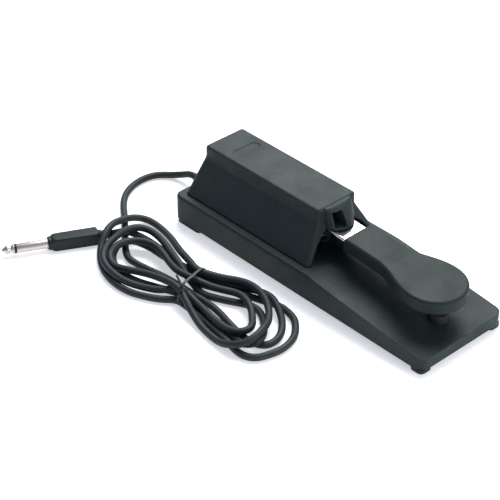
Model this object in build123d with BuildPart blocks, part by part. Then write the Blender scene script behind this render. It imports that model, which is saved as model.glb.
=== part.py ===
from build123d import *
from math import pi, radians, tan
import os

os.makedirs("parts", exist_ok=True)

# Sustain pedal for a keyboard: a wedge-shaped base, a housing over its rear half, a long
# chromed lever with a rubber paddle, a snap switch inside, and a cord with a phone plug.
# Millimetres.  X is across the pedal, -Y is the toe end, +Z is up.  The origin is on the
# floor, below the middle of the base.

# ---------------------------------------------------------------- driving dimensions
FOOT_HEIGHT = 3.0            # the rubber feet hold the skirt this far off the floor
BASE_WIDTH = 75.0
BASE_LENGTH = 231.0
DECK_Z = 21.8                # level deck that the housing stands on
TOE_Z = 11.2                 # top of the base at its toe edge
KINK_Y = -14.8               # the level deck turns into the slope here
BASE_WALL = 2.4
BASE_CORNER = 6.0            # plan radius of the base's corners

HOUSING_TOP_Z = 56.5
HOUSING_KNEE_Z = 48.1        # the sides are upright above the knee and flare below it
HOUSING_TOP_HALF = 17.2
HOUSING_FOOT_HALF = 32.2
HOUSING_TOP_Y = (-3.8, 105.3)
HOUSING_FOOT_Y = (-9.8, 109.5)
HOUSING_WALL = 2.5
HOUSING_KNEE_RADIUS = 7.0
MOUTH_TOP_Z = 41.7           # top of the mouth that the lever comes out of
MOUTH_MIDDLE_Z = 34.0
MOUTH_HALVES = (11.1, 20.0, 28.8)    # half widths at its top, middle and foot
REST_RIB_Z = 43.6            # underside of the rib over the lever
NOSE_RADIUS = 11.6           # bull nose over the lever, rounding back into the wall as it rises
NOSE_Y = -4.3
# (z, depth)
NOSE_DEPTHS = [(41.7, 10.7), (46.0, 9.9), (49.5, 8.2), (52.5, 5.9), (54.6, 3.5), (55.8, 1.4)]
WINDOW_X = (-9.0, -1.6)      # window on the left of the nose, through to the inside
WINDOW_Z = (43.0, 53.4)

PIVOT_Y = 62.0
PIVOT_Z = 40.5
PIN_RADIUS = 2.5
LEVER_SLOPE = 3.2            # degrees that the lever dips towards the toe at rest
LEVER_WIDTH = 21.0
LEVER_SHEET = 1.6
WEB_TOP_Z = PIVOT_Z + 4.4    # top of the lever before it is tilted
FLANGE_DEPTH = 6.3
LEVER_TOE_Y = -104.0
LEVER_TAIL_Y = 80.0

PADDLE_REAR_Y = -23.0
PADDLE_TOE_Y = -110.5
PADDLE_HEAD_RADIUS = 22.0
PADDLE_NECK_HALF = 12.8
PADDLE_TOP_Z = WEB_TOP_Z + 2.9
PADDLE_BOTTOM_Z = WEB_TOP_Z - FLANGE_DEPTH

SPRING_Y = 12.0
SPRING_RADIUS = 5.2
SPRING_WIRE = 0.8
SPRING_Z = (23.2, 40.1)
SPRING_COILS = 6

SWITCH_X = 9.7               # under the middle of the lever's right flange
SWITCH_Y = (34.0, 54.0)
SWITCH_Z = (23.0, 33.2)
SWITCH_WIDTH = 6.4
LEAF_HINGE = (53.0, 33.9)    # y, z
LEAF_TIP = (35.0, 36.6)
PLUNGER_Y = 46.0

STOP_Y = -94.0
STOP_RADIUS = 6.5
STOP_Z = (12.2, 18.5)
REST_STOP_Y = 6.0            # the lever's top comes to rest under this pad
REST_STOP_THICKNESS = 1.7

CORD_RADIUS = 2.4
EXIT_Z = 9.0
BOOT_LENGTH = 20.0

PLUG_TIP = (-151.0, 160.0, 4.8)
PLUG_TURN = -27.0            # heading of the plug's axis from the tip back to the cord
PLUG_FINGER = 31.5
PLUG_SLEEVE_RADIUS = 3.175
BARREL_SIDE = 9.6
BARREL_LENGTH = 34.0
PLUG_BOOT_LENGTH = 10.0

HANK_Z = (0.8, 14.5)

BASE_REAR_Y = BASE_LENGTH / 2
BASE_TOE_Y = -BASE_LENGTH / 2
PLATE_Z = (FOOT_HEIGHT, FOOT_HEIGHT + 2.0)
PIVOT_AXIS = Axis((0, PIVOT_Y, PIVOT_Z), (1, 0, 0))
UP = (Align.CENTER, Align.CENTER, Align.MIN)
DOWN = (Align.CENTER, Align.CENTER, Align.MAX)


def save(part, name):
    part.label = name
    export_step(part, f"parts/{name}.step")


def base_top(y):
    """Height of the base's upper face at y."""
    if y >= KINK_Y:
        return DECK_Z
    return TOE_Z + (DECK_Z - TOE_Z) * (y - BASE_TOE_Y) / (KINK_Y - BASE_TOE_Y)


def tilted(part):
    """A piece of the lever, drawn level, dipped to its rest slope about the pivot."""
    return part.rotate(PIVOT_AXIS, LEVER_SLOPE)


# ---------------------------------------------------------------- base
PLATE_SCREWS = [(x, y) for x in (-28, 28) for y in (-98, 0, 98)]
HOUSING_SCREWS = [(x, y) for x in (-22, 22) for y in (8, 92)]
BRACKET_SCREWS = [(x, y) for x in (-18.6, 18.6) for y in (57.8, 66.2)]
SWITCH_FOOT_SCREWS = [(19.0, 39), (19.0, 48)]
CLAMP_SCREWS = [(-7.5, 100), (7.5, 100)]
DECK_UNDER_Z = DECK_Z - BASE_WALL

with BuildPart() as base_shell:
    with BuildSketch(Plane.YZ.offset(-BASE_WIDTH / 2)):
        Polygon(
            (BASE_TOE_Y, FOOT_HEIGHT),
            (BASE_REAR_Y, FOOT_HEIGHT),
            (BASE_REAR_Y, DECK_Z),
            (KINK_Y, DECK_Z),
            (BASE_TOE_Y, TOE_Z),
            align=None,
        )
    extrude(amount=BASE_WIDTH)
    upright = base_shell.edges().filter_by(Axis.Z)
    fillet(upright, BASE_CORNER)
    fillet(base_shell.faces().sort_by(Axis.Z)[-1].edges().sort_by(Axis.Y)[1:], 1.8)
    # hollow, open below
    with BuildSketch(Plane.YZ.offset(-BASE_WIDTH / 2 + BASE_WALL)):
        Polygon(
            (BASE_TOE_Y + BASE_WALL, FOOT_HEIGHT),
            (BASE_REAR_Y - BASE_WALL, FOOT_HEIGHT),
            (BASE_REAR_Y - BASE_WALL, DECK_UNDER_Z),
            (KINK_Y, DECK_UNDER_Z),
            (BASE_TOE_Y + BASE_WALL, TOE_Z - BASE_WALL),
            align=None,
        )
    extrude(amount=BASE_WIDTH - 2 * BASE_WALL, mode=Mode.SUBTRACT)
    # screw posts under the skin
    for x, y in PLATE_SCREWS:
        with Locations((x, y, PLATE_Z[1])):
            Cylinder(4, base_top(y) - PLATE_Z[1] - 1, align=UP)
    for x, y in BRACKET_SCREWS + SWITCH_FOOT_SCREWS + CLAMP_SCREWS:
        with Locations((x, y, DECK_Z - 1)):
            Cylinder(3.4, 10, align=DOWN)
    # pilot and clearance holes
    for x, y in PLATE_SCREWS:
        with Locations((x, y, PLATE_Z[0])):
            Cylinder(1.25, 5.4, align=UP, mode=Mode.SUBTRACT)
    for x, y in BRACKET_SCREWS + SWITCH_FOOT_SCREWS:
        with Locations((x, y, DECK_Z)):
            Cylinder(1.5, 9, align=DOWN, mode=Mode.SUBTRACT)
    for x, y in CLAMP_SCREWS:
        with Locations((x, y, DECK_Z - 11)):
            Cylinder(1.2, 7, align=UP, mode=Mode.SUBTRACT)
    for x, y in HOUSING_SCREWS:
        with Locations((x, y, DECK_Z)):
            Cylinder(1.8, 2 * BASE_WALL, mode=Mode.SUBTRACT)
    # round pocket for the down stop, and the slot that the switch's blades hang through
    with Locations((0, STOP_Y, STOP_Z[0])):
        Cylinder(STOP_RADIUS + 0.05, 10, align=UP, mode=Mode.SUBTRACT)
    with Locations((SWITCH_X, sum(SWITCH_Y) / 2, DECK_Z)):
        Box(5, 16, 2 * BASE_WALL, mode=Mode.SUBTRACT)
    # raised centring ring for the spring
    with Locations((0, SPRING_Y, DECK_Z)):
        Cylinder(SPRING_RADIUS + 3, SPRING_Z[0] - DECK_Z, align=UP)
        Cylinder(3.4, 5, align=UP)
    # hole for the cord's strain relief
    with Locations((0, BASE_REAR_Y, EXIT_Z)):
        Cylinder(3.6, 4 * BASE_WALL, rotation=(90, 0, 0), mode=Mode.SUBTRACT)
save(base_shell.part, "base_shell")

with BuildPart() as bottom_plate:
    with BuildSketch(Plane.XY.offset(PLATE_Z[0])):
        RectangleRounded(BASE_WIDTH - 2 * BASE_WALL - 0.6, BASE_LENGTH - 2 * BASE_WALL - 12, 4)
    extrude(amount=PLATE_Z[1] - PLATE_Z[0])
    with Locations(*[(x, y, PLATE_Z[0]) for x, y in PLATE_SCREWS]):
        Cylinder(1.6, 6, mode=Mode.SUBTRACT)
        Cone(3.1, 1.6, 1.5, align=UP, mode=Mode.SUBTRACT)
save(bottom_plate.part, "bottom_plate")

with BuildPart() as plate_screws:
    with Locations(*[(x, y, PLATE_Z[0]) for x, y in PLATE_SCREWS]):
        Cone(3.05, 1.5, 1.5, align=UP)
        Cylinder(1.2, 5.2, align=UP)
    with Locations(*[(x, y, PLATE_Z[0]) for x, y in PLATE_SCREWS]):
        Box(3.6, 0.7, 1.0, mode=Mode.SUBTRACT)
save(plate_screws.part, "plate_screws")


# ---------------------------------------------------------------- feet and stops
def corner_foot(side, end_y, length):
    """A rubber pad flush with the base's side, running in from end_y towards the middle."""
    inward = -1 if end_y > 0 else 1
    with BuildPart() as foot:
        with BuildSketch(Plane.XY):
            with Locations((side * (BASE_WIDTH / 2 - 5.5), end_y + inward * length / 2)):
                RectangleRounded(10.6, length, 3.5)
        extrude(amount=FOOT_HEIGHT)
        chamfer(foot.faces().sort_by(Axis.Z)[0].edges(), 0.5)
    return foot.part


for end_name, end_y, foot_length in (("front", BASE_TOE_Y + 0.4, 10.6), ("rear", BASE_REAR_Y - 2.5, 23.0)):
    for side_name, side in (("left", -1), ("right", 1)):
        save(corner_foot(side, end_y, foot_length), f"foot_{end_name}_{side_name}")

with BuildPart() as down_stop:
    with Locations((0, STOP_Y, STOP_Z[0])):
        Cylinder(STOP_RADIUS, STOP_Z[1] - STOP_Z[0], align=UP)
    fillet(down_stop.faces().sort_by(Axis.Z)[-1].edges(), 1.0)
save(down_stop.part, "down_stop")

with BuildPart() as rest_stop:
    with Locations((0, REST_STOP_Y, REST_RIB_Z)):
        Box(16, 3, REST_STOP_THICKNESS, align=DOWN)
save(rest_stop.part, "rest_stop")


# ---------------------------------------------------------------- housing
def housing_rect(z, inset):
    """Half width and front and rear y of the housing at height z, less an inset."""
    share = max(0.0, (HOUSING_KNEE_Z - z) / (HOUSING_KNEE_Z - DECK_Z))
    half = HOUSING_TOP_HALF + share * (HOUSING_FOOT_HALF - HOUSING_TOP_HALF) - inset
    front = HOUSING_TOP_Y[0] + share * (HOUSING_FOOT_Y[0] - HOUSING_TOP_Y[0]) + inset
    rear = HOUSING_TOP_Y[1] + share * (HOUSING_FOOT_Y[1] - HOUSING_TOP_Y[1]) - inset
    return half, front, rear


def housing_section(z, inset, corner):
    """Draws the housing's rounded plan section into the current sketch."""
    half, front, rear = housing_rect(z, inset)
    with Locations((0, (front + rear) / 2)):
        RectangleRounded(2 * half, rear - front, corner)


with BuildPart() as nose:
    for z, depth in NOSE_DEPTHS:
        with BuildSketch(Plane.XY.offset(z)):
            with Locations((0, NOSE_Y)):
                Ellipse(NOSE_RADIUS, depth)
    loft()
    with Locations((0, -3.0, 0)):
        Box(60, 60, 100, align=(Align.CENTER, Align.MIN, Align.MIN), mode=Mode.SUBTRACT)

with BuildPart() as housing:
    with BuildSketch(Plane.XY.offset(DECK_Z)):
        housing_section(DECK_Z, 0, 2.5)
    with BuildSketch(Plane.XY.offset(HOUSING_KNEE_Z)):
        housing_section(HOUSING_KNEE_Z, 0, 2.5)
    loft()
    with BuildSketch(Plane.XY.offset(HOUSING_KNEE_Z)):
        housing_section(HOUSING_KNEE_Z, 0, 2.5)
    extrude(amount=HOUSING_TOP_Z - HOUSING_KNEE_Z)
    fillet(housing.faces().sort_by(Axis.Z)[-1].edges(), 2.0)
    knee = housing.edges().filter_by_position(Axis.Z, HOUSING_KNEE_Z - 0.01, HOUSING_KNEE_Z + 0.01)
    fillet(knee, HOUSING_KNEE_RADIUS)
    # inside
    with BuildSketch(Plane.XY.offset(DECK_Z)):
        housing_section(DECK_Z, HOUSING_WALL, 1.5)
    with BuildSketch(Plane.XY.offset(HOUSING_KNEE_Z)):
        housing_section(HOUSING_KNEE_Z, HOUSING_WALL, 1.5)
    loft(mode=Mode.SUBTRACT)
    with BuildSketch(Plane.XY.offset(HOUSING_KNEE_Z)):
        housing_section(HOUSING_KNEE_Z, HOUSING_WALL, 1.5)
    extrude(amount=HOUSING_TOP_Z - HOUSING_WALL - HOUSING_KNEE_Z, mode=Mode.SUBTRACT)
    # mouth for the lever
    with BuildSketch(Plane.XZ.offset(-4)):
        Polygon(
            (-MOUTH_HALVES[2], DECK_Z),
            (MOUTH_HALVES[2], DECK_Z),
            (MOUTH_HALVES[1], MOUTH_MIDDLE_Z),
            (MOUTH_HALVES[0], MOUTH_TOP_Z),
            (-MOUTH_HALVES[0], MOUTH_TOP_Z),
            (-MOUTH_HALVES[1], MOUTH_MIDDLE_Z),
            align=None,
        )
    extrude(amount=20, mode=Mode.SUBTRACT)
    # shadow groove round the foot
    with BuildSketch(Plane.XY.offset(DECK_Z)):
        housing_section(DECK_Z, -3, 2.5)
        half, front, rear = housing_rect(DECK_Z, 0.9)
        with Locations((0, (front + rear) / 2)):
            Rectangle(2 * half, rear - front, mode=Mode.SUBTRACT)
    extrude(amount=1.2, mode=Mode.SUBTRACT)
    # bull nose over the lever
    add(nose.part)
    # tall window on the nose's left and a small slot on its right
    with Locations((sum(WINDOW_X) / 2, -10, WINDOW_Z[0])):
        Box(WINDOW_X[1] - WINDOW_X[0], 24, WINDOW_Z[1] - WINDOW_Z[0], align=UP, mode=Mode.SUBTRACT)
    with Locations((7.6, -10, 43.6)):
        Box(2.2, 24, 2.6, align=UP, mode=Mode.SUBTRACT)
    # posts for the housing's screws
    for x, y in HOUSING_SCREWS:
        with Locations((x, y, DECK_Z)):
            Cylinder(3.5, 10.5, align=UP)
    for x, y in HOUSING_SCREWS:
        with Locations((x, y, DECK_Z)):
            Cylinder(1.25, 9.5, align=UP, mode=Mode.SUBTRACT)
    # rib that carries the rest stop
    with Locations((0, REST_STOP_Y, REST_RIB_Z)):
        Box(24, 2.4, HOUSING_TOP_Z - HOUSING_WALL - REST_RIB_Z + 0.5, align=UP)
    # plain shallow pad for a label
    with BuildSketch(Plane.XY.offset(HOUSING_TOP_Z)):
        with Locations((0, 82)):
            SlotOverall(22, 8)
    extrude(amount=-0.35, mode=Mode.SUBTRACT)
save(housing.part, "housing")

with BuildPart() as housing_screws:
    for x, y in HOUSING_SCREWS:
        with Locations((x, y, DECK_UNDER_Z)):
            Cylinder(3.2, 2.0, align=DOWN)
            Cylinder(1.2, 11, align=UP)
save(housing_screws.part, "housing_screws")


# ---------------------------------------------------------------- pivot
EAR_INNER = 12.8
EAR_SHEET = 2.0
BRACKET_LENGTH = 15.0

with BuildPart() as pivot_bracket:
    with Locations((0, PIVOT_Y, DECK_Z)):
        Box(46, BRACKET_LENGTH, 2, align=UP)
    for side in (-1, 1):
        with BuildSketch(Plane.YZ.offset(side * (EAR_INNER + EAR_SHEET / 2))):
            with Locations((PIVOT_Y, (DECK_Z + PIVOT_Z) / 2)):
                Rectangle(13, PIVOT_Z - DECK_Z)
            with Locations((PIVOT_Y, PIVOT_Z)):
                Circle(6.5)
        extrude(amount=EAR_SHEET / 2, both=True)
    with Locations((0, PIVOT_Y, PIVOT_Z)):
        Cylinder(PIN_RADIUS + 0.02, 60, rotation=(0, 90, 0), mode=Mode.SUBTRACT)
    with Locations(*[(x, y, DECK_Z) for x, y in BRACKET_SCREWS]):
        Cylinder(1.7, 8, mode=Mode.SUBTRACT)
save(pivot_bracket.part, "pivot_bracket")

with BuildPart() as bracket_screws:
    for x, y in BRACKET_SCREWS:
        with Locations((x, y, DECK_Z + 2)):
            Cylinder(2.7, 1.8, align=UP)
            Cylinder(1.45, 9, align=DOWN)
save(bracket_screws.part, "bracket_screws")

PIN_HALF = 16.6
CLIP_X = EAR_INNER + EAR_SHEET + 0.7

with BuildPart() as pivot_pin:
    with Locations((0, PIVOT_Y, PIVOT_Z)):
        Cylinder(PIN_RADIUS, 2 * PIN_HALF, rotation=(0, 90, 0))
    with Locations((-CLIP_X, PIVOT_Y, PIVOT_Z), (CLIP_X, PIVOT_Y, PIVOT_Z)):
        Cylinder(PIN_RADIUS + 1, 0.8, rotation=(0, 90, 0), mode=Mode.SUBTRACT)
        Cylinder(1.9, 0.8, rotation=(0, 90, 0))
save(pivot_pin.part, "pivot_pin")

with BuildPart() as pivot_clips:
    for side in (-1, 1):
        with BuildSketch(Plane.YZ.offset(side * CLIP_X)):
            with Locations((PIVOT_Y, PIVOT_Z)):
                Circle(4.4)
                Circle(1.95, mode=Mode.SUBTRACT)
            with Locations((PIVOT_Y, PIVOT_Z - 3)):
                Rectangle(3.4, 6, mode=Mode.SUBTRACT)
        extrude(amount=0.35, both=True)
save(pivot_clips.part, "pivot_clips")


# ---------------------------------------------------------------- lever and paddle
BUSH_RADIUS = 4.0
FLANGE_X = LEVER_WIDTH / 2 - LEVER_SHEET / 2

with BuildPart() as lever:
    lever_length = LEVER_TAIL_Y - LEVER_TOE_Y
    lever_middle = (LEVER_TAIL_Y + LEVER_TOE_Y) / 2
    with Locations((0, lever_middle, WEB_TOP_Z)):
        Box(LEVER_WIDTH, lever_length, FLANGE_DEPTH, align=DOWN)
    # deeper lobes round the pivot
    with BuildSketch(Plane.YZ.offset(-LEVER_WIDTH / 2)):
        with Locations((PIVOT_Y, PIVOT_Z)):
            Circle(7)
    extrude(amount=LEVER_WIDTH)
    with Locations((0, lever_middle, WEB_TOP_Z)):
        Box(LEVER_WIDTH + 2, lever_length, 6, align=UP, mode=Mode.SUBTRACT)
    fillet(lever.faces().sort_by(Axis.Z)[-1].edges().filter_by(Axis.Y), 1.4)
    with Locations((0, lever_middle, WEB_TOP_Z - LEVER_SHEET)):
        Box(LEVER_WIDTH - 2 * LEVER_SHEET, lever_length + 2, 20, align=DOWN, mode=Mode.SUBTRACT)
    with Locations((0, PIVOT_Y, PIVOT_Z)):
        Cylinder(BUSH_RADIUS, 40, rotation=(0, 90, 0), mode=Mode.SUBTRACT)
    # button that centres the spring
    with Locations((0, SPRING_Y, WEB_TOP_Z - LEVER_SHEET)):
        Cylinder(3.4, 3, align=DOWN)
save(tilted(lever.part), "lever")

with BuildPart() as lever_bushes:
    for side in (-1, 1):
        with Locations((side * FLANGE_X, PIVOT_Y, PIVOT_Z)):
            Cylinder(BUSH_RADIUS, LEVER_SHEET, rotation=(0, 90, 0))
        with Locations((side * (LEVER_WIDTH / 2 + 0.8), PIVOT_Y, PIVOT_Z)):
            Cylinder(BUSH_RADIUS + 1.5, 1.6, rotation=(0, 90, 0))
    with Locations((0, PIVOT_Y, PIVOT_Z)):
        Cylinder(PIN_RADIUS + 0.05, 60, rotation=(0, 90, 0), mode=Mode.SUBTRACT)
save(tilted(lever_bushes.part), "lever_bushes")

HEAD_Y = PADDLE_TOE_Y + PADDLE_HEAD_RADIUS
NECK_END_Y = -50.0

with BuildPart() as paddle:
    with BuildSketch(Plane.XY.offset(PADDLE_BOTTOM_Z)):
        with BuildLine():
            neck_right = Line((PADDLE_NECK_HALF, PADDLE_REAR_Y), (PADDLE_NECK_HALF, NECK_END_Y))
            flare_right = Spline(
                neck_right @ 1, (PADDLE_HEAD_RADIUS, HEAD_Y), tangents=((0, -1), (0, -1))
            )
            head = ThreePointArc(
                flare_right @ 1, (0, PADDLE_TOE_Y), (-PADDLE_HEAD_RADIUS, HEAD_Y)
            )
            flare_left = Spline(
                head @ 1, (-PADDLE_NECK_HALF, NECK_END_Y), tangents=((0, 1), (0, 1))
            )
            neck_left = Line(flare_left @ 1, (-PADDLE_NECK_HALF, PADDLE_REAR_Y))
            Line(neck_left @ 1, neck_right @ 0)
        make_face()
    extrude(amount=PADDLE_TOP_Z - PADDLE_BOTTOM_Z)
    # soft edges, left square at the rear
    fillet(paddle.faces().sort_by(Axis.Z)[-1].edges().sort_by(Axis.Y)[:-1], 2.0)
    fillet(paddle.faces().sort_by(Axis.Z)[0].edges().sort_by(Axis.Y)[:-1], 0.8)
    # the lever's channel fills this slot
    with Locations((0, PADDLE_REAR_Y, WEB_TOP_Z)):
        Box(
            LEVER_WIDTH, PADDLE_REAR_Y - LEVER_TOE_Y, 20,
            align=(Align.CENTER, Align.MAX, Align.MAX), mode=Mode.SUBTRACT,
        )
    # core that stiffens the paddle inside the channel
    with Locations((0, PADDLE_REAR_Y - 1, WEB_TOP_Z - LEVER_SHEET)):
        Box(
            LEVER_WIDTH - 2 * LEVER_SHEET, PADDLE_REAR_Y - LEVER_TOE_Y + 1, FLANGE_DEPTH - LEVER_SHEET,
            align=(Align.CENTER, Align.MAX, Align.MAX),
        )
save(tilted(paddle.part), "paddle")


# ---------------------------------------------------------------- return spring
with BuildPart() as return_spring:
    with BuildLine():
        coil = Helix(
            pitch=(SPRING_Z[1] - SPRING_Z[0] - 2 * SPRING_WIRE) / SPRING_COILS,
            height=SPRING_Z[1] - SPRING_Z[0] - 2 * SPRING_WIRE,
            radius=SPRING_RADIUS,
            center=(0, SPRING_Y, SPRING_Z[0] + SPRING_WIRE),
        )
    with BuildSketch(Plane(origin=coil @ 0, z_dir=coil % 0)):
        Circle(SPRING_WIRE)
    sweep(is_frenet=True)
save(return_spring.part, "return_spring")


# ---------------------------------------------------------------- switch
SWITCH_MID_Y = sum(SWITCH_Y) / 2
SWITCH_SCREW_Y = (SWITCH_MID_Y - 4.8, SWITCH_MID_Y + 4.8)
SWITCH_SCREW_Z = SWITCH_Z[0] + 3.0
CHEEK_OFFSET = 2.6
PLATE_X = (SWITCH_X + SWITCH_WIDTH / 2 + 0.1, SWITCH_X + SWITCH_WIDTH / 2 + 1.6)
BLADE_Y = (38.0, 44.0, 50.0)
BLADE_TIP_Z = 16.4

with BuildPart() as switch_body:
    with Locations((SWITCH_X, SWITCH_MID_Y, SWITCH_Z[0])):
        Box(SWITCH_WIDTH, SWITCH_Y[1] - SWITCH_Y[0], SWITCH_Z[1] - SWITCH_Z[0], align=UP)
    chamfer(switch_body.edges().filter_by(Axis.X), 0.5)
    for y in SWITCH_SCREW_Y:
        with Locations((SWITCH_X, y, SWITCH_SCREW_Z)):
            Cylinder(1.15, 20, rotation=(0, 90, 0), mode=Mode.SUBTRACT)
    with Locations((SWITCH_X, PLUNGER_Y, SWITCH_Z[1])):
        Cylinder(1.28, 3, align=DOWN, mode=Mode.SUBTRACT)
    # cheeks that carry the leaf's hinge pin
    for side in (-1, 1):
        with Locations((SWITCH_X + side * CHEEK_OFFSET, LEAF_HINGE[0] - 0.7, SWITCH_Z[1])):
            Box(0.6, 2.6, 1.6, align=UP)
    with Locations((SWITCH_X, *LEAF_HINGE)):
        Cylinder(0.5, 2 * CHEEK_OFFSET + 1, rotation=(0, 90, 0), mode=Mode.SUBTRACT)
save(switch_body.part, "switch_body")

with BuildPart() as switch_plunger:
    with Locations((SWITCH_X, PLUNGER_Y, SWITCH_Z[1] - 1.4)):
        Cylinder(1.2, 2.6, align=UP)
    fillet(switch_plunger.faces().sort_by(Axis.Z)[-1].edges(), 0.5)
save(switch_plunger.part, "switch_plunger")

with BuildPart() as switch_leaf:
    with BuildSketch(Plane.YZ.offset(SWITCH_X - 2)):
        with BuildLine():
            FilletPolyline(
                (LEAF_HINGE[0] + 1.0, SWITCH_Z[1] + 0.35), LEAF_HINGE, LEAF_TIP,
                (LEAF_TIP[0] - 1.5, LEAF_TIP[1] - 0.8), radius=0.6,
            )
        trace(line_width=0.4)
    extrude(amount=4)
    with Locations((SWITCH_X, *LEAF_HINGE)):
        Cylinder(0.45, 2 * CHEEK_OFFSET + 0.4, rotation=(0, 90, 0))
save(switch_leaf.part, "switch_leaf")

with BuildPart() as switch_blades:
    with Locations(*[(SWITCH_X, y, SWITCH_Z[0]) for y in BLADE_Y]):
        Box(3, 0.6, SWITCH_Z[0] - BLADE_TIP_Z, align=DOWN)
save(switch_blades.part, "switch_blades")

with BuildPart() as switch_bracket:
    with BuildSketch(Plane.XZ.offset(-SWITCH_Y[0] - 2)):
        with BuildLine():
            Polyline(
                (PLATE_X[0], 32), (PLATE_X[0], DECK_Z), (22.5, DECK_Z), (22.5, DECK_Z + 1.5),
                (PLATE_X[1], DECK_Z + 1.5), (PLATE_X[1], 32), close=True,
            )
        make_face()
    extrude(amount=-15)
    for y in SWITCH_SCREW_Y:
        with Locations((PLATE_X[0], y, SWITCH_SCREW_Z)):
            Cylinder(1.05, 8, rotation=(0, 90, 0), mode=Mode.SUBTRACT)
    with Locations(*[(x, y, DECK_Z) for x, y in SWITCH_FOOT_SCREWS]):
        Cylinder(1.7, 8, mode=Mode.SUBTRACT)
save(switch_bracket.part, "switch_bracket")

with BuildPart() as switch_screws:
    for y in SWITCH_SCREW_Y:
        with Locations((SWITCH_X - SWITCH_WIDTH / 2, y, SWITCH_SCREW_Z)):
            Cylinder(2, 1.3, rotation=(0, 90, 0), align=(Align.CENTER, Align.CENTER, Align.MAX))
            Cylinder(1.0, 9.4, rotation=(0, 90, 0), align=UP)
    for x, y in SWITCH_FOOT_SCREWS:
        with Locations((x, y, DECK_Z + 1.5)):
            Cylinder(2.6, 1.6, align=UP)
            Cylinder(1.45, 8, align=DOWN)
save(switch_screws.part, "switch_screws")


# ---------------------------------------------------------------- cord entry
INNER_CORD_Y = 92.0
BOOT_END_Y = BASE_REAR_Y + BOOT_LENGTH

with BuildPart() as strain_relief:
    with BuildSketch(Plane.XY.offset(EXIT_Z)):
        with BuildLine():
            Polyline(
                (CORD_RADIUS, BASE_REAR_Y - 5.0), (4.7, BASE_REAR_Y - 5.0),
                (4.7, BASE_REAR_Y - BASE_WALL), (3.55, BASE_REAR_Y - BASE_WALL),
                (3.55, BASE_REAR_Y), (4.7, BASE_REAR_Y), (4.7, BASE_REAR_Y + 2.4),
                (3.6, BASE_REAR_Y + 3.4), (3.0, BOOT_END_Y), (CORD_RADIUS, BOOT_END_Y), close=True,
            )
        make_face()
    revolve(axis=Axis((0, 0, EXIT_Z), (0, 1, 0)))
save(strain_relief.part, "strain_relief")

with BuildPart() as cord_entry:
    with Locations((0, BOOT_END_Y, EXIT_Z)):
        Cylinder(CORD_RADIUS, BOOT_END_Y - INNER_CORD_Y, rotation=(90, 0, 0),
                 align=UP)
save(cord_entry.part, "cord_entry")

with BuildPart() as cord_clamp:
    with BuildSketch(Plane.XZ.offset(-CLAMP_SCREWS[0][1])):
        with Locations((0, EXIT_Z)):
            Circle(CORD_RADIUS + 1.5)
        with Locations((0, DECK_Z - 12)):
            Rectangle(22, 2)
        with Locations((0, EXIT_Z)):
            Circle(CORD_RADIUS + 0.05, mode=Mode.SUBTRACT)
            Rectangle(2 * CORD_RADIUS, 8, align=(Align.CENTER, Align.MIN), mode=Mode.SUBTRACT)
    extrude(amount=3, both=True)
    with Locations(*[(x, y, DECK_Z - 12) for x, y in CLAMP_SCREWS]):
        Cylinder(1.4, 6, mode=Mode.SUBTRACT)
save(cord_clamp.part, "cord_clamp")

with BuildPart() as clamp_screws:
    for x, y in CLAMP_SCREWS:
        with Locations((x, y, DECK_Z - 13)):
            Cylinder(2.4, 1.5, align=DOWN)
            Cylinder(1.15, 8, align=UP)
save(clamp_screws.part, "clamp_screws")


def wire(points, radius):
    """A thin round wire along straight runs with small bends."""
    with BuildPart() as strand:
        with BuildLine():
            path = FilletPolyline(*points, radius=radius)
        with BuildSketch(Plane(origin=path @ 0, z_dir=path % 0)):
            Circle(0.6)
        sweep()
    return strand.part


WIRE_END_Z = BLADE_TIP_Z + 0.8
SIGNAL_ROUTE = [
    (1.1, INNER_CORD_Y, EXIT_Z),
    (1.1, 86, EXIT_Z),
    (SWITCH_X, 66, 11),
    (SWITCH_X, 56, WIRE_END_Z),
    (SWITCH_X, BLADE_Y[2] + 0.3, WIRE_END_Z),
]
GROUND_ROUTE = [
    (-1.1, INNER_CORD_Y, EXIT_Z),
    (-1.1, 84, EXIT_Z),
    (4, 62, EXIT_Z),
    (SWITCH_X, 47, 12),
    (SWITCH_X, 42, WIRE_END_Z),
    (SWITCH_X, BLADE_Y[0] + 0.3, WIRE_END_Z),
]
save(wire(SIGNAL_ROUTE, 1.4), "wire_signal")
save(wire(GROUND_ROUTE, 1.4), "wire_ground")


# ---------------------------------------------------------------- free cord
# The cord's tail: out of the boot, down to the floor, and round to the hank.
TAIL_ROUTE = [
    (0.0, BOOT_END_Y, EXIT_Z),
    (0.0, 141.0, EXIT_Z),
    (-0.6, 148.0, 5.4),
    (-4.4, 156.8, 2.5),
    (-12.0, 164.5, 2.5),
    (-22.0, 167.0, 2.5),
    (-33.5, 165.5, 2.5),
    (-44.5, 160.0, 2.5),
    (-53.5, 151.5, 2.5),
    (-62.8, 138.4, 2.5),
]


def bend_radii(points):
    """One arc radius for each corner, as large as its two runs allow."""
    radii = []
    for before, corner, after in zip(points, points[1:], points[2:]):
        run_in = Vector(*corner) - Vector(*before)
        run_out = Vector(*after) - Vector(*corner)
        turn = run_in.get_angle(run_out)
        radii.append(0.45 * min(run_in.length, run_out.length) / tan(radians(turn) / 2))
    return radii


TAIL_RADII = bend_radii(TAIL_ROUTE)
with BuildPart() as cord_tail:
    with BuildLine():
        tail_path = FilletPolyline(*TAIL_ROUTE, radius=TAIL_RADII)
    with BuildSketch(Plane(origin=tail_path @ 0, z_dir=tail_path % 0)):
        Circle(CORD_RADIUS)
    sweep()
save(cord_tail.part, "cord_tail")
print("tail bend radii", [round(r, 1) for r in TAIL_RADII])
print("tail volume over section x length",
      round(cord_tail.part.volume / (pi * CORD_RADIUS ** 2 * tail_path.length), 4))

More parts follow.
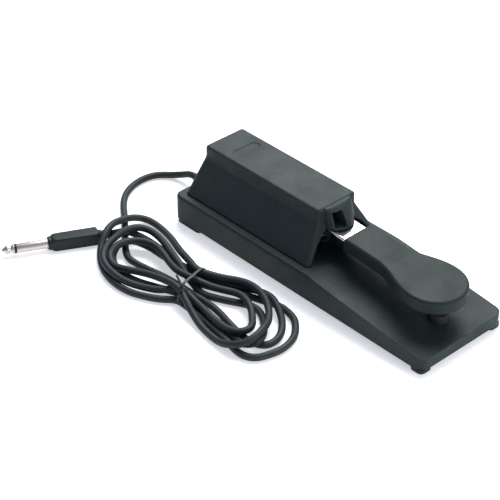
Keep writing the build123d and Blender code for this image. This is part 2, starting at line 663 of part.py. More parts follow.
# The hank: the outer shape of the cord's turns, two lobes with a tied waist.
LEFT_LOBE = [((-74, 115), 26.5), ((-94, 91), 26.0)]
RIGHT_LOBE = [((-76, 8), 26.0), ((-84, -14), 27.5)]
WAIST = (-83, 47)
WAIST_RADIUS = 13.5

TIE_SHEET = 0.8
TIE_WIDTH = 3.0
TIE_TURN = 17.0              # heading of the tie across the waist
TIE_INSIDE = (2 * WAIST_RADIUS + 1.6, HANK_Z[1] - TIE_SHEET)
tie_plane = Plane(
    origin=(WAIST[0], WAIST[1], (HANK_Z[1] + TIE_SHEET) / 2),
    x_dir=Vector(1, 0, 0).rotate(Axis.Z, TIE_TURN),
    z_dir=Vector(0, 1, 0).rotate(Axis.Z, TIE_TURN),
)

with BuildPart() as hank_tie:
    with BuildSketch(tie_plane):
        RectangleRounded(TIE_INSIDE[0] + 2 * TIE_SHEET, TIE_INSIDE[1] + 2 * TIE_SHEET, 3)
        RectangleRounded(*TIE_INSIDE, 2.2, mode=Mode.SUBTRACT)
    extrude(amount=TIE_WIDTH / 2, both=True)
save(hank_tie.part, "hank_tie")


# ---------------------------------------------------------------- plug
plug_plane = Plane(origin=PLUG_TIP, x_dir=Vector(1, 0, 0).rotate(Axis.Z, PLUG_TURN), z_dir=(0, 0, 1))
plug_axis = Axis(plug_plane.origin, plug_plane.x_dir)
RING_X = (9.2, 10.4)
SLEEVE_END_X = PLUG_FINGER + 4.5
ROD_END_X = PLUG_FINGER + 7.0
BARREL_END_X = PLUG_FINGER + BARREL_LENGTH
PLUG_END_X = BARREL_END_X + PLUG_BOOT_LENGTH


def turned(points):
    """A round plug piece turned from a profile of (along, radius) points."""
    with BuildPart() as piece:
        with BuildSketch(plug_plane):
            with BuildLine():
                Polyline(*points, close=True)
            make_face()
        revolve(axis=plug_axis)
    return piece.part


save(turned([
    (0, 0), (0, 0.8), (1.4, 1.9), (3.2, 2.9), (4.4, 3.0), (5.6, 2.5), (6.8, 2.1), (7.6, 2.1),
    (8.3, 2.9), (RING_X[0], 3.0), (RING_X[0], 1.0), (ROD_END_X, 1.0), (ROD_END_X, 0),
]), "plug_tip")
save(turned([
    (RING_X[0], 1.0), (RING_X[0], 3.0), (RING_X[1], 3.0), (RING_X[1], 1.8),
    (SLEEVE_END_X, 1.8), (SLEEVE_END_X, 1.0),
]), "plug_insulator")
save(turned([
    (RING_X[1], 1.8), (RING_X[1], PLUG_SLEEVE_RADIUS), (PLUG_FINGER, PLUG_SLEEVE_RADIUS),
    (PLUG_FINGER, 2.8), (SLEEVE_END_X, 2.8), (SLEEVE_END_X, 1.8),
]), "plug_sleeve")

barrel_plane = Plane(
    origin=plug_axis.position + plug_axis.direction * PLUG_FINGER,
    x_dir=(0, 0, 1),
    z_dir=plug_axis.direction,
)

with BuildPart() as plug_barrel:
    with BuildSketch(barrel_plane):
        Rectangle(BARREL_SIDE, BARREL_SIDE)
    extrude(amount=BARREL_LENGTH)
    chamfer(plug_barrel.edges(), 1.1)
    with BuildSketch(plug_plane):
        with BuildLine():
            Polyline(
                (BARREL_END_X - 1, 0), (BARREL_END_X - 1, 4.0), (BARREL_END_X + 2.5, 4.0),
                (BARREL_END_X + 3.0, 3.5), (PLUG_END_X, 3.0), (PLUG_END_X, 0), close=True,
            )
        make_face()
    revolve(axis=plug_axis)
    with BuildSketch(plug_plane):
        with BuildLine():
            Polyline(
                (PLUG_FINGER, 0), (PLUG_FINGER, 2.8), (SLEEVE_END_X, 2.8),
                (SLEEVE_END_X, 1.0), (ROD_END_X, 1.0), (ROD_END_X, 0), close=True,
            )
        make_face()
    revolve(axis=plug_axis, mode=Mode.SUBTRACT)
save(plug_barrel.part, "plug_barrel")


# ---------------------------------------------------------------- hank
with BuildPart() as cord_hank:
    for lobe in (LEFT_LOBE, RIGHT_LOBE):
        with BuildSketch(Plane.XY.offset(HANK_Z[0])):
            for centre, radius in lobe + [(WAIST, WAIST_RADIUS)]:
                with Locations(centre):
                    Circle(radius)
            make_hull()
        extrude(amount=HANK_Z[1] - HANK_Z[0])
    fillet(cord_hank.faces().sort_by(Axis.Z)[-1].edges(), 3.0)
    # groove that the tie pulls into the turns
    with BuildSketch(tie_plane):
        Rectangle(80, 40)
        RectangleRounded(TIE_INSIDE[0] - 0.1, TIE_INSIDE[1] - 0.1, 2.2, mode=Mode.SUBTRACT)
    extrude(amount=TIE_WIDTH / 2 + 0.2, both=True, mode=Mode.SUBTRACT)
    # the turns lie over the rear of the plug's barrel
    with BuildSketch(barrel_plane):
        Rectangle(BARREL_SIDE + 0.1, BARREL_SIDE + 0.1)
    extrude(amount=PLUG_END_X - PLUG_FINGER + 0.1, mode=Mode.SUBTRACT)
save(cord_hank.part, "cord_hank")
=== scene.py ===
"""Sustain pedal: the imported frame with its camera, light, finishes and fine pieces."""
from math import copysign, cos, pi, radians, sin

import bmesh
import bpy
from mathutils import Matrix, Vector


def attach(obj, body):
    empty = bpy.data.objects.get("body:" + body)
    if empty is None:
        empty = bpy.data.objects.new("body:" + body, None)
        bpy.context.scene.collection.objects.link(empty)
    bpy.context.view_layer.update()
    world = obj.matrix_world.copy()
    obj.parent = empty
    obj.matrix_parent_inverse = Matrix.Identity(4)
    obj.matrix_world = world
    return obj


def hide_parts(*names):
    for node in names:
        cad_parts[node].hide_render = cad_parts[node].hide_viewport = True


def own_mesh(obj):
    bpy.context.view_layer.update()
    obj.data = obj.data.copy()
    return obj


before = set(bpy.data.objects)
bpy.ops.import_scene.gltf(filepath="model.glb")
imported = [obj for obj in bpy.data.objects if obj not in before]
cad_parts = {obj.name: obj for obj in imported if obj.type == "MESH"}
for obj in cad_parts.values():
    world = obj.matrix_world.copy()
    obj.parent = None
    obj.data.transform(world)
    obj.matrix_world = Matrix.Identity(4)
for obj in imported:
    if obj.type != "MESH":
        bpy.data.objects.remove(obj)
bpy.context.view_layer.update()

MM = 0.001
CORD_RADIUS = 2.4           # millimetres


# ---------------------------------------------------------------- camera, floor and light
def add_camera():
    camera = bpy.data.objects.new("camera", bpy.data.cameras.new("camera"))
    bpy.context.collection.objects.link(camera)
    camera.data.sensor_width = 36
    camera.data.lens = 119.33
    camera.location = (-0.6403, -0.6162, 0.6458)
    camera.rotation_euler = (radians(54.64), 0, radians(-42.65))
    bpy.context.scene.camera = camera


def add_floor():
    mesh = bpy.data.meshes.new("floor")
    shape = bmesh.new()
    bmesh.ops.create_grid(shape, x_segments=2, y_segments=2, size=3)
    shape.to_mesh(mesh)
    shape.free()
    floor = bpy.data.objects.new("floor", mesh)
    bpy.context.collection.objects.link(floor)
    paper, tree, shader = new_material("floor_paper")
    fibre = noise(tree, 400.0).outputs["Fac"]
    grey = mixed(tree, fibre, (0.74, 0.74, 0.74), (0.78, 0.78, 0.78))
    tree.links.new(grey, shader.inputs["Base Color"])
    shader.inputs["Roughness"].default_value = 0.95
    shader.inputs["Emission Color"].default_value = (1, 1, 1, 1)
    shader.inputs["Emission Strength"].default_value = 0.5
    shader.inputs["Specular IOR Level"].default_value = 0.1
    mesh.materials.append(paper)


def add_softbox(name, position, aim, size, power):
    """A square-edged area lamp at a position, turned to shine on the aim; metres and watts."""
    light = bpy.data.lights.new(name, "AREA")
    light.shape = "RECTANGLE"
    light.size, light.size_y = size
    light.energy = power
    lamp = bpy.data.objects.new(name, light)
    bpy.context.collection.objects.link(lamp)
    lamp.location = position
    lamp.rotation_euler = (Vector(aim) - Vector(position)).to_track_quat("-Z", "Y").to_euler()


def add_light():
    world = bpy.data.worlds.new("studio")
    world.use_nodes = True
    world.node_tree.nodes["Background"].inputs["Color"].default_value = (0.62, 0.68, 1, 1)
    world.node_tree.nodes["Background"].inputs["Strength"].default_value = 0.4
    bpy.context.scene.world = world
    bpy.context.scene.view_settings.view_transform = "Standard"
    add_softbox("softbox_key", (0.62, 0.4, 1.2), (0, 0, 0), (0.9, 0.9), 25)
    add_softbox("softbox_rear", (0.85, 0.85, 0.9), (0, 0, 0.04), (0.9, 0.9), 6)
    add_softbox("softbox_toe", (0.3, -1.3, 0.6), (0, 0, 0.02), (0.9, 0.6), 9)


# ---------------------------------------------------------------- finishes
def new_material(name):
    """A new material, with its node tree and its shader node."""
    material = bpy.data.materials.new(name)
    material.use_nodes = True
    tree = material.node_tree
    return material, tree, tree.nodes["Principled BSDF"]


def add_node(tree, kind, settings=None, **inputs):
    """A node with its settings and its own socket values; a socket's name has _ for a space."""
    node = tree.nodes.new(kind)
    for name, value in (settings or {}).items():
        setattr(node, name, value)
    for name, value in inputs.items():
        socket = node.inputs[name.replace("_", " ")]
        if isinstance(value, bpy.types.NodeSocket):
            tree.links.new(value, socket)
        else:
            socket.default_value = value
    return node


def noise(tree, scale, detail=4.0):
    """A noise texture in the piece's own coordinates, scale in cycles per metre."""
    coordinates = add_node(tree, "ShaderNodeTexCoord").outputs["Object"]
    return add_node(tree, "ShaderNodeTexNoise", Vector=coordinates, Scale=scale, Detail=detail)


def spread(tree, value, low, high, start=0.3, end=0.7):
    """The value from a texture, spread over low to high."""
    return add_node(tree, "ShaderNodeMapRange", Value=value, From_Min=start, From_Max=end,
                    To_Min=low, To_Max=high).outputs["Result"]


def mixed(tree, share, first, second):
    """The colour between first and second at a share from 0 to 1; either may be a socket."""
    node = add_node(tree, "ShaderNodeMix", {"data_type": "RGBA"})
    tree.links.new(share, node.inputs[0])
    for socket, value in zip(node.inputs[6:8], (first, second)):
        if isinstance(value, bpy.types.NodeSocket):
            tree.links.new(value, socket)
        else:
            socket.default_value = (*value, 1)
    return node.outputs[2]


# How well the rounded and the flat normal agree where an edge is fully lightened (wear and painted
# highlight), and on flat ground
HIGHLIGHT_AND_WORN_MATCH = 0.78
FLAT_MATCH = 0.995
CLOUD_SCALE = 60.0          # cycles per metre of the slow change in gloss
HIGHLIGHT_AND_SCUFF_SCALE = 180.0         # cycles per metre of the patches where edges are lightened, partly as wear and partly as painted highlight


def edge_mask(tree, radius):
    """Near 1 along edges and 0 on flat ground, with the rounded normal that it comes from."""
    rounded = add_node(tree, "ShaderNodeBevel", {"samples": 6}, Radius=radius).outputs["Normal"]
    flat = add_node(tree, "ShaderNodeNewGeometry").outputs["Normal"]
    match = add_node(tree, "ShaderNodeVectorMath", {"operation": "DOT_PRODUCT"})
    tree.links.new(rounded, match.inputs[0])
    tree.links.new(flat, match.inputs[1])
    mask = spread(tree, match.outputs["Value"], 1.0, 0.0, HIGHLIGHT_AND_WORN_MATCH, FLAT_MATCH)
    return mask, rounded


def finish(name, colour, shade, roughness, metallic=0.0, grain=1500.0, depth=0.00006, edge=0.0006,
           edge_highlight_and_wear=0.5, highlight_and_worn_colour=None, specular=0.5, **sockets):
    """
    A moulded or metal finish. colour and shade are the two ends of its fine speckle, roughness a
    (low, high) pair, grain the speckle's cycles per metre and depth its relief in metres. edge is
    the radius in metres of its softened edges, and edge_highlight_and_wear how far they turn to the
    lighter edge colour, which is twice the colour unless it is given. This lightening is partly
    wear and partly a painted highlight along the edges.
    """
    material, tree, shader = new_material(name)
    cloud = noise(tree, CLOUD_SCALE, 3.0).outputs["Fac"]
    fine = noise(tree, grain, 2.0).outputs["Fac"]
    mask, rounded = edge_mask(tree, edge)
    base = mixed(tree, spread(tree, fine, 0.0, 1.0), colour, shade)
    if highlight_and_worn_colour is None:
        highlight_and_worn_colour = tuple(min(1.0, 2.0 * part) for part in colour)
    # Edges turn in patches towards a lighter colour: partly wear, partly a painted highlight along the
    # rounded edges.
    patches = noise(tree, HIGHLIGHT_AND_SCUFF_SCALE, 5.0).outputs["Fac"]
    edge_highlight_and_scuff = add_node(tree, "ShaderNodeMath", {"operation": "MULTIPLY"})
    tree.links.new(mask, edge_highlight_and_scuff.inputs[0])
    tree.links.new(spread(tree, patches, 0.0, edge_highlight_and_wear, 0.35, 0.6), edge_highlight_and_scuff.inputs[1])
    tree.links.new(mixed(tree, edge_highlight_and_scuff.outputs[0], base, highlight_and_worn_colour), shader.inputs["Base Color"])
    tree.links.new(spread(tree, cloud, roughness[0], roughness[1]), shader.inputs["Roughness"])
    relief = add_node(tree, "ShaderNodeBump", Strength=1.0, Distance=depth, Height=fine, Normal=rounded)
    tree.links.new(relief.outputs["Normal"], shader.inputs["Normal"])
    shader.inputs["Metallic"].default_value = metallic
    shader.inputs["Specular IOR Level"].default_value = specular
    for socket, value in sockets.items():
        shader.inputs[socket.replace("_", " ")].default_value = value
    return material


add_camera()
add_floor()
add_light()

MATERIALS = {
    # The lighter edge colours of base and housing are a painted edge highlight as well as wear.
    "base_plastic": finish("base_plastic", (0.019, 0.033, 0.028), (0.0095, 0.0185, 0.0165),
                           (0.5, 0.62), grain=1300.0, depth=0.00014, edge=0.0012, edge_highlight_and_wear=0.9,
                           highlight_and_worn_colour=(0.06, 0.085, 0.08), specular=0.25),
    "housing_plastic": finish("housing_plastic", (0.019, 0.034, 0.0285), (0.0105, 0.0205, 0.018),
                              (0.5, 0.62), grain=1300.0, depth=0.00012, edge=0.0012, edge_highlight_and_wear=0.9,
                              highlight_and_worn_colour=(0.055, 0.08, 0.075), specular=0.25),
    "paddle_rubber": finish("paddle_rubber", (0.0145, 0.0265, 0.0215), (0.0095, 0.0185, 0.016),
                            (0.52, 0.64), grain=1500.0, depth=0.00008, edge=0.0012, specular=0.2),
    "lever_chrome": finish("lever_chrome", (0.93, 0.92, 0.93), (0.88, 0.87, 0.87), (0.12, 0.2), 1.0,
                           grain=800.0, depth=0.00001, edge=0.0003, edge_highlight_and_wear=0.2, highlight_and_worn_colour=(0.98, 0.97, 0.95)),
    "plate_steel": finish("plate_steel", (0.02, 0.021, 0.022), (0.015, 0.016, 0.017), (0.5, 0.62), 0.3,
                          grain=900.0, depth=0.00003),
    "foot_rubber": finish("foot_rubber", (0.018, 0.019, 0.02), (0.013, 0.014, 0.015), (0.7, 0.85),
                          grain=1300.0, depth=0.00008),
    "stop_rubber": finish("stop_rubber", (0.012, 0.019, 0.018), (0.008, 0.013, 0.013), (0.65, 0.8),
                          grain=1300.0, depth=0.00008),
    "zinc_steel": finish("zinc_steel", (0.55, 0.56, 0.57), (0.47, 0.48, 0.48), (0.3, 0.42), 1.0,
                         grain=700.0, depth=0.00003),
    "spring_steel": finish("spring_steel", (0.42, 0.41, 0.4), (0.35, 0.34, 0.33), (0.25, 0.36), 1.0,
                           grain=900.0, depth=0.00002),
    "nylon": finish("nylon", (0.62, 0.6, 0.54), (0.56, 0.54, 0.48), (0.4, 0.5), grain=900.0,
                    depth=0.00003, Subsurface_Weight=0.1),
    "switch_plastic": finish("switch_plastic", (0.03, 0.031, 0.033), (0.024, 0.025, 0.027), (0.35, 0.45),
                             grain=1500.0, depth=0.00003),
    "switch_red": finish("switch_red", (0.42, 0.03, 0.025), (0.36, 0.025, 0.02), (0.35, 0.45),
                         grain=1500.0, depth=0.00003),
    "contact_brass": finish("contact_brass", (0.72, 0.5, 0.2), (0.66, 0.45, 0.18), (0.25, 0.36), 1.0,
                            grain=900.0, depth=0.00002),
    "cord_pvc": finish("cord_pvc", (0.015, 0.023, 0.022), (0.011, 0.017, 0.017), (0.52, 0.64),
                       grain=1800.0, depth=0.00003, edge_highlight_and_wear=0.0, specular=0.35),
    "wire_red": finish("wire_red", (0.4, 0.03, 0.025), (0.34, 0.025, 0.02), (0.35, 0.5), edge_highlight_and_wear=0.0),
    "wire_black": finish("wire_black", (0.02, 0.02, 0.021), (0.016, 0.016, 0.017), (0.35, 0.5),
                         edge_highlight_and_wear=0.0),
    "tie_grey": finish("tie_grey", (0.018, 0.026, 0.025), (0.014, 0.021, 0.02), (0.5, 0.6),
                       grain=1500.0, depth=0.00003, edge=0.0002, edge_highlight_and_wear=0.3),
    "plug_nickel": finish("plug_nickel", (0.66, 0.61, 0.53), (0.58, 0.54, 0.47), (0.38, 0.48), 1.0,
                          grain=1000.0, depth=0.00001, edge=0.0002, edge_highlight_and_wear=0.2),
    "plug_black": finish("plug_black", (0.008, 0.014, 0.012), (0.006, 0.011, 0.01), (0.45, 0.55),
                         grain=2000.0, depth=0.00003, edge=0.0005, specular=0.25),
}
SLOT_NODES = {
    "base_plastic": ["base_shell"],
    "housing_plastic": ["housing"],
    "paddle_rubber": ["paddle"],
    "lever_chrome": ["lever"],
    "plate_steel": ["bottom_plate"],
    "foot_rubber": ["foot_front_left", "foot_front_right", "foot_rear_left", "foot_rear_right"],
    "stop_rubber": ["down_stop", "rest_stop"],
    "zinc_steel": ["plate_screws", "housing_screws", "pivot_bracket", "bracket_screws", "pivot_pin",
                   "switch_screws", "clamp_screws", "switch_bracket", "cord_clamp"],
    "spring_steel": ["pivot_clips", "switch_leaf"],
    "nylon": ["lever_bushes"],
    "switch_plastic": ["switch_body"],
    "switch_red": ["switch_plunger"],
    "contact_brass": ["switch_blades"],
    "cord_pvc": ["strain_relief", "cord_entry"],
    "wire_red": ["wire_signal"],
    "wire_black": ["wire_ground"],
}
for slot_name, nodes in SLOT_NODES.items():
    for node_name in nodes:
        for material_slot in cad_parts[node_name].material_slots:
            material_slot.material = MATERIALS[slot_name]


# ---------------------------------------------------------------- cord
# Control points in millimetres: the route as part.py has it, then the hank. The cord runs along the
# hank to its waist, and goes five times round the lobe on the toe's side and four times round the
# one on the exit's side. Upper turns rest on lower ones. The fifth near turn lies on the floor and
# leads to the plug.
ROUTE = [
    (0, 135.5, 9), (0, 141, 9), (-0.6, 148, 5.4), (-4.4, 156.8, 2.5), (-12, 164.5, 2.5), (-22, 167, 2.5),
    (-33.5, 165.5, 2.5), (-44.5, 160, 2.5), (-53.5, 151.5, 2.5), (-62.8, 138.4, 2.5),
]
INTO_THE_HANK = [
    (-69.5, 130, 2.5), (-76.5, 121, 2.5), (-83.5, 112.5, 2.5), (-89, 105, 2.5), (-92.5, 97.5, 2.5),
    (-92, 89, 2.5), (-90.5, 79.5, 2.5), (-88.5, 69.5, 2.5), (-87.5, 58, 2.5), (-87, 46.5, 2.5),
]
TURN_1_NEAR = [
    (-86.5, 35.5, 2.5), (-86, 23.5, 2.5), (-87, 13, 2.5), (-90, 1, 2.5), (-92, -10, 2.5),
    (-93, -18.5, 2.5), (-92, -26, 2.5), (-88, -31.5, 2.5), (-82, -32.5, 2.5), (-75.5, -30.5, 2.5),
    (-69, -26, 2.7), (-64.5, -21, 3.8), (-59.5, -13, 5.5), (-55.5, -2.5, 7.3), (-55.5, 10, 5.5),
    (-60, 21.5, 4), (-65, 31.5, 4), (-69.5, 41, 4.6), (-73, 50.5, 5.9),
]
TURN_1_FAR = [
    (-74.5, 61, 6.8), (-75.5, 71.5, 5.8), (-75, 82, 4.2), (-74.5, 92.5, 3.8), (-76, 101.5, 4.5),
    (-80.5, 108.5, 6.6), (-88.5, 111.5, 6.7), (-96, 109.5, 3.7), (-101.5, 103.5, 2.5), (-105, 95, 2.5),
    (-106, 85.5, 2.5), (-104.5, 74.5, 2.5), (-99.5, 62.5, 2.5), (-92.5, 46, 2.5),
]
TURN_2_NEAR = [
    (-93, 35.5, 2.5), (-93.5, 25, 2.5), (-94.5, 13.5, 2.5), (-96, 0.5, 2.5), (-97.5, -10, 2.5),
    (-98.5, -18.5, 2.8), (-97.5, -25, 4.3), (-94, -29, 6.6), (-88.5, -28.5, 7.4), (-82.5, -23.5, 6),
    (-77.5, -18.5, 4), (-72, -12, 2.8), (-68, -5, 2.5), (-66.5, 2, 2.5), (-69.5, 9.5, 2.5),
    (-74, 17, 2.5), (-78.5, 25.5, 2.5), (-83, 34.5, 3.1), (-81, 45, 4.1),
]
TURN_2_FAR = [
    (-79.5, 55, 6.8), (-77.5, 64.5, 11.1), (-74.5, 74.5, 10.9), (-69.5, 86.5, 9.4), (-66.5, 97.5, 8.7),
    (-66, 106, 8.7), (-68.5, 111.5, 9.5), (-74, 114.5, 10.9), (-81, 116, 10.7), (-88.5, 116, 9.2),
    (-95.5, 114.5, 8.4), (-102, 111, 8), (-108.5, 105, 7.5), (-112, 97.5, 7.1), (-113.5, 88.5, 6.7),
    (-113.5, 80, 6.1), (-111, 71.5, 5.3), (-107, 62.5, 5.2), (-102, 53, 5.8), (-91, 44.5, 7.2),
]
TURN_3_NEAR = [
    (-93.5, 33.5, 7.1), (-95, 23.5, 6.8), (-96.5, 14, 6.7), (-98, 4.5, 6.7), (-98.5, -3.5, 6.8),
    (-97.5, -10.5, 6.9), (-93.5, -15.5, 7), (-88, -16.5, 6.8), (-82.5, -13, 6), (-79, -9, 5.6),
    (-73.5, -2.5, 5.9), (-70, 4.5, 6.9), (-68.5, 12, 7.3), (-69.5, 18.5, 6.8), (-73, 25, 7),
    (-78, 33.5, 8), (-81.5, 45.5, 9.5),
]
TURN_3_FAR = [
    (-84, 57.5, 9.9), (-81, 69, 9.2), (-77, 80, 9), (-75, 89, 8.7), (-76, 96.5, 8.8), (-79.5, 102, 9.1),
    (-85, 106, 9.3), (-91.5, 108, 9.3), (-97.5, 107.5, 8.3), (-103, 104.5, 7.1), (-106.5, 98.5, 6.5),
    (-108, 92.5, 6.8), (-106, 86, 7.3), (-102.5, 79, 7.6), (-99, 70, 8.5), (-97, 58.5, 10.1),
    (-95.5, 44.5, 11.3),
]
TURN_4_NEAR = [
    (-99, 33, 9.5), (-101.5, 25, 6.5), (-103.5, 17.5, 4), (-105.5, 9, 2.6), (-107, -1, 2.5),
    (-108, -11, 3.2), (-107.5, -19.5, 6.6), (-103.5, -26.5, 8.9), (-96, -29, 11.4), (-87, -27, 12),
    (-77.5, -22, 9.6), (-69.5, -14.5, 8.7), (-63.5, -6.5, 8.5), (-59.5, 2.5, 9.1), (-58.5, 11, 9.7),
    (-59, 18.5, 9.3), (-61.5, 25.5, 8.8), (-66.5, 33, 8.9), (-71, 41, 9.7), (-75, 49, 11.1),
]
TURN_4_FAR = [
    (-71.5, 60.5, 10.9), (-67, 72, 7.9), (-62.5, 83, 5.4), (-57.5, 94.5, 3.7), (-54.5, 105, 2.7),
    (-53, 114.5, 2.5), (-53.5, 123, 2.9), (-57.5, 128.5, 4.2), (-64, 130.5, 6.2), (-72.5, 130, 8.4),
    (-82, 127.5, 11.1), (-91, 123, 11.3), (-98, 119, 7.5), (-104, 113.5, 4.3), (-109, 106.5, 2.7),
    (-113.5, 97, 2.5), (-116, 87, 2.5), (-116.5, 77, 2.5), (-115, 67.5, 2.5), (-111, 58.5, 2.5),
    (-106, 49.5, 2.5), (-98, 42, 2.5),
]
TURN_5_NEAR = [
    (-98, 32.5, 2.5), (-99, 21.5, 2.5), (-100.5, 9, 2.5), (-102, -3.5, 2.5), (-103.5, -14.5, 2.5),
    (-105.5, -23, 2.5), (-105, -30.5, 2.5), (-101, -36.5, 2.5), (-92.5, -39.5, 2.5), (-84.5, -41, 2.5),
    (-76.5, -40, 2.5), (-69, -37, 2.5), (-62.5, -31.5, 2.5), (-57, -25, 2.5), (-54.5, -16.5, 2.5),
    (-54, -7.5, 2.5), (-59, 6, 2.5), (-63.5, 18, 2.5), (-69, 29, 2.5), (-73.5, 38.5, 2.5),
    (-77.5, 48, 2.5),
]
TO_THE_PLUG = [
    (-75, 59.5, 2.5), (-72, 70.5, 2.5), (-70.5, 81.5, 2.5), (-69.5, 92.5, 2.6), (-70, 103, 3.5),
    (-73, 112.5, 5.4), (-77.6, 119.6, 7.6), (-83.9, 125.8, 4.8),
]
CORD_POINTS = (
    ROUTE + INTO_THE_HANK + TURN_1_NEAR + TURN_1_FAR + TURN_2_NEAR + TURN_2_FAR + TURN_3_NEAR
    + TURN_3_FAR + TURN_4_NEAR + TURN_4_FAR + TURN_5_NEAR + TO_THE_PLUG
)


def smooth_curve(name, points, radius, sides=4):
    """A tube of that radius along the smooth line that the points control, all in millimetres."""
    curve = bpy.data.curves.new(name, "CURVE")
    curve.dimensions = "3D"
    curve.bevel_depth = radius * MM
    curve.bevel_resolution = sides
    curve.resolution_u = 6
    curve.use_fill_caps = True
    spline = curve.splines.new("NURBS")
    spline.points.add(len(points) - 1)
    for control, point in zip(spline.points, points):
        control.co = (*(part * MM for part in point), 1)
    spline.order_u = 3
    spline.use_endpoint_u = True
    piece = bpy.data.objects.new(name, curve)
    bpy.context.collection.objects.link(piece)
    return piece


def place(piece, slot_name):
    """The piece gets the slot's finish and rides on the chassis, as all of them do."""
    piece.data.materials.append(MATERIALS[slot_name])
    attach(piece, "chassis")
    return piece


cord = place(smooth_curve("cord", CORD_POINTS, CORD_RADIUS, sides=6), "cord_pvc")
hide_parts("cord_tail", "cord_hank")


# ---------------------------------------------------------------- tie
# A thin band round the hank's waist, in the upright plane across it, and its two twisted ends. All
# sizes are in millimetres, and the band's line is drawn as (across, height) from the waist.
WAIST = Vector((-82, 43, 0))
WAIST_TURN = radians(14)
TIE_LINE = [(-17.6, 1.2), (-19, 4.6), (-16.6, 10.6), (-12.6, 14.6), (-3, 14.2), (6, 14.4), (11.4, 12.6),
            (13.8, 6.6), (12.6, 2.4), (8.6, 0.5), (-3, 0.4), (-14.6, 0.4)]
KNOT_TOP = Vector((-16, -1.5, 17.5))
KNOT_FOOT = Vector((-18.6, -2, 7.5))
TWIST_TURNS = 2.5
TWIST_STEPS = 20
TWIST_RADIUS = 0.8
BAND_HALF_WIDTH = 0.8
BAND_HALF_SHEET = 0.25
TIE_WIRE_RADIUS = 0.7


def waist_point(across, along, height):
    """A point in millimetres from the waist's centre: across the strands, along them and up."""
    return WAIST + Matrix.Rotation(WAIST_TURN, 3, "Z") @ Vector((across, along, height))


def tie_band():
    """The band's flat strip, drawn as a closed line in its own plane and then stood upright."""
    curve = bpy.data.curves.new("tie_band", "CURVE")
    curve.dimensions = "2D"
    curve.fill_mode = "NONE"
    curve.extrude = BAND_HALF_WIDTH * MM
    curve.bevel_depth = BAND_HALF_SHEET * MM
    curve.bevel_resolution = 2
    spline = curve.splines.new("NURBS")
    spline.points.add(len(TIE_LINE) - 1)
    for control, (across, height) in zip(spline.points, TIE_LINE):
        control.co = (across * MM, height * MM, 0, 1)
    spline.order_u = 3
    spline.use_cyclic_u = True
    band = bpy.data.objects.new("tie_band", curve)
    bpy.context.collection.objects.link(band)
    band.matrix_world = (Matrix.Translation(WAIST * MM) @ Matrix.Rotation(WAIST_TURN, 4, "Z")
                         @ Matrix.Rotation(pi / 2, 4, "X"))
    return place(band, "tie_grey")


def tie_end(name, phase, start, end, tip):
    """One of the two wires that twist round each other at the tie's left shoulder and then part."""
    points = []
    for step in range(TWIST_STEPS + 1):
        share = step / TWIST_STEPS
        angle = phase + 2 * pi * TWIST_TURNS * share
        middle = start.lerp(end, share)
        across = middle.x + TWIST_RADIUS * cos(angle)
        along = middle.y + TWIST_RADIUS * sin(angle)
        points.append(waist_point(across, along, middle.z))
    points.append(waist_point(*tip))
    return place(smooth_curve(name, points, TIE_WIRE_RADIUS, sides=3), "tie_grey")


tie_pieces = [
    tie_band(),
    tie_end("tie_end_upper", 0, KNOT_FOOT, KNOT_TOP, (-18, 1, 24)),
    tie_end("tie_end_lower", pi, KNOT_TOP, KNOT_FOOT, (-20.5, -4.5, 3.2)),
]
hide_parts("hank_tie")


# ---------------------------------------------------------------- plug
PLUG_TIP = Vector((-151, 160, 4.8))
PLUG_HEADING = radians(-27)
PLUG_FRAME = Matrix.Translation(PLUG_TIP * MM) @ Matrix.Rotation(PLUG_HEADING, 4, "Z")
# The turned parts: (distance from the tip, radius) in millimetres
TIP_PROFILE = [(0, 0.45), (0.5, 0.95), (3.1, 2.75), (3.7, 3), (4.3, 2.95), (5, 2.5), (5.7, 2.1),
               (6.4, 2.15), (7.2, 2.75), (7.7, 3.05), (8.3, 3.15), (8.5, 3.1)]
INSULATOR_PROFILE = [(8.4, 3.05), (8.6, 3.2), (10, 3.2), (10.2, 3.05)]
SLEEVE_PROFILE = [(10.1, 3.05), (10.3, 3.17), (29.6, 3.17), (29.8, 3.4), (31.9, 3.4)]
# Collar, square grip and boot: (distance, half width, half height, squareness), where squareness 2
# is round and a larger one is squarer
BARREL_SECTIONS = [
    (31.2, 3.5, 3.5, 2), (31.2, 4, 4, 2), (31.5, 4.35, 4.35, 2.2), (33.2, 4.5, 4.5, 2.6),
    (33.6, 4.3, 4.3, 2.8), (34, 4.6, 4.55, 3.4), (34.8, 4.85, 4.75, 5), (36.5, 4.95, 4.8, 7),
    (50, 5.05, 4.8, 8), (64, 5.1, 4.8, 8), (65, 4.95, 4.7, 7), (65.5, 4.5, 4.4, 4), (65.6, 4, 4, 2),
    (67.6, 3.95, 3.95, 2), (68.2, 3.3, 3.3, 2), (69.6, 3.3, 3.3, 2), (69.9, 3.7, 3.7, 2),
    (71, 3.65, 3.65, 2), (71.3, 3.15, 3.15, 2), (72.6, 3.1, 3.1, 2), (72.9, 3.4, 3.4, 2),
    (74, 3.3, 3.3, 2), (74.6, 2.9, 2.9, 2), (75.6, 2.7, 2.7, 2), (75.6, 2.3, 2.3, 2),
]
RING_STEPS = 64
RIM_ANGLE = radians(40)     # edges sharper than this stay crisp


def ring_point(half_width, half_height, squareness, angle):
    """A point of a rounded-square ring; with squareness 2 it is an ellipse."""
    power = 2 / squareness
    across = half_width * copysign(abs(cos(angle)) ** power, cos(angle))
    height = half_height * copysign(abs(sin(angle)) ** power, sin(angle))
    return across, height


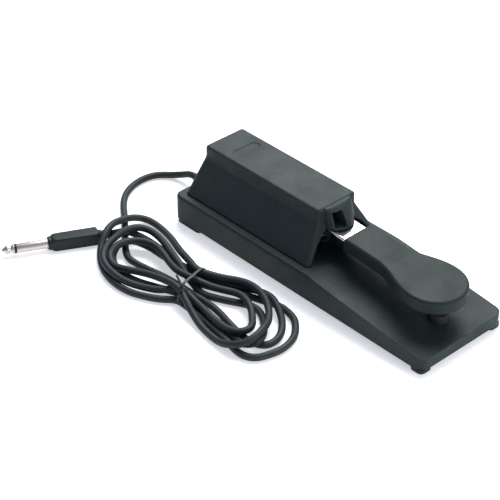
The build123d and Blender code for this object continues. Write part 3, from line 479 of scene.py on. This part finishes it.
def skin(name, sections, slot_name):
    """A closed plug part over rings along the plug's axis, each a row like those above."""
    shape = bmesh.new()
    rings = []
    for distance, half_width, half_height, squareness in sections:
        ring = []
        for step in range(RING_STEPS):
            angle = 2 * pi * step / RING_STEPS
            across, height = ring_point(half_width, half_height, squareness, angle)
            ring.append(shape.verts.new(Vector((distance, across, height)) * MM))
        rings.append(ring)
    for ring, following in zip(rings, rings[1:]):
        for step in range(RING_STEPS):
            other = (step + 1) % RING_STEPS
            shape.faces.new((ring[step], ring[other], following[other], following[step]))
    shape.faces.new(rings[0])
    shape.faces.new(reversed(rings[-1]))
    bmesh.ops.recalc_face_normals(shape, faces=shape.faces)
    mesh = bpy.data.meshes.new(name)
    shape.to_mesh(mesh)
    shape.free()
    mesh.transform(PLUG_FRAME)
    mesh.shade_smooth()
    piece = bpy.data.objects.new(name, mesh)
    bpy.context.collection.objects.link(piece)
    rims = piece.modifiers.new("sharp_rims", "EDGE_SPLIT")
    rims.split_angle = RIM_ANGLE
    return place(piece, slot_name)


def turned(name, profile, slot_name):
    """A turned plug part from its (distance, radius) profile; its ends are closed."""
    sections = [(distance, radius, radius, 2) for distance, radius in profile]
    return skin(name, sections, slot_name)


plug_pieces = [
    turned("plug_point", TIP_PROFILE, "plug_nickel"),
    turned("plug_ring", INSULATOR_PROFILE, "plug_black"),
    turned("plug_shank", SLEEVE_PROFILE, "plug_nickel"),
    skin("plug_grip", BARREL_SECTIONS, "plug_black"),
]
for piece, node_name in zip(plug_pieces, ("plug_tip", "plug_insulator", "plug_sleeve", "plug_barrel")):
    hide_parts(node_name)


# ---------------------------------------------------------------- return spring
# A compression spring with one closed turn at each end, in millimetres; it gets shorter as the
# lever comes down.
SPRING_FOOT = Vector((0, 12, 23.2))
SPRING_HEIGHT = 16.9
SPRING_RADIUS = 5.2
SPRING_WIRE = 0.8
SPRING_TURNS = 7
STEPS_PER_TURN = 16


def spring_points():
    """The line of the wire's centre from the spring's foot to its top."""
    closed_rise = 2 * SPRING_WIRE
    open_rise = (SPRING_HEIGHT - 2 * SPRING_WIRE - 2 * closed_rise) / (SPRING_TURNS - 2)
    points = []
    for step in range(SPRING_TURNS * STEPS_PER_TURN + 1):
        turn = step / STEPS_PER_TURN
        closed = min(turn, 1) + max(turn - (SPRING_TURNS - 1), 0)
        height = SPRING_WIRE + closed_rise * closed + open_rise * (turn - closed)
        angle = 2 * pi * turn
        outward = Vector((cos(angle), sin(angle), 0)) * SPRING_RADIUS
        points.append(SPRING_FOOT + outward + Vector((0, 0, height)))
    return points


def spring_coil():
    """The spring as a mesh, because only a mesh can be squashed."""
    line = smooth_curve("spring_line", spring_points(), SPRING_WIRE)
    bpy.context.view_layer.update()
    drawn = line.evaluated_get(bpy.context.evaluated_depsgraph_get())
    mesh = bpy.data.meshes.new_from_object(drawn)
    bpy.data.objects.remove(line)
    mesh.materials.clear()
    mesh.shade_smooth()
    coil = bpy.data.objects.new("spring_coil", mesh)
    bpy.context.collection.objects.link(coil)
    return place(coil, "spring_steel")


spring = spring_coil()
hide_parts("return_spring")
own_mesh(spring)
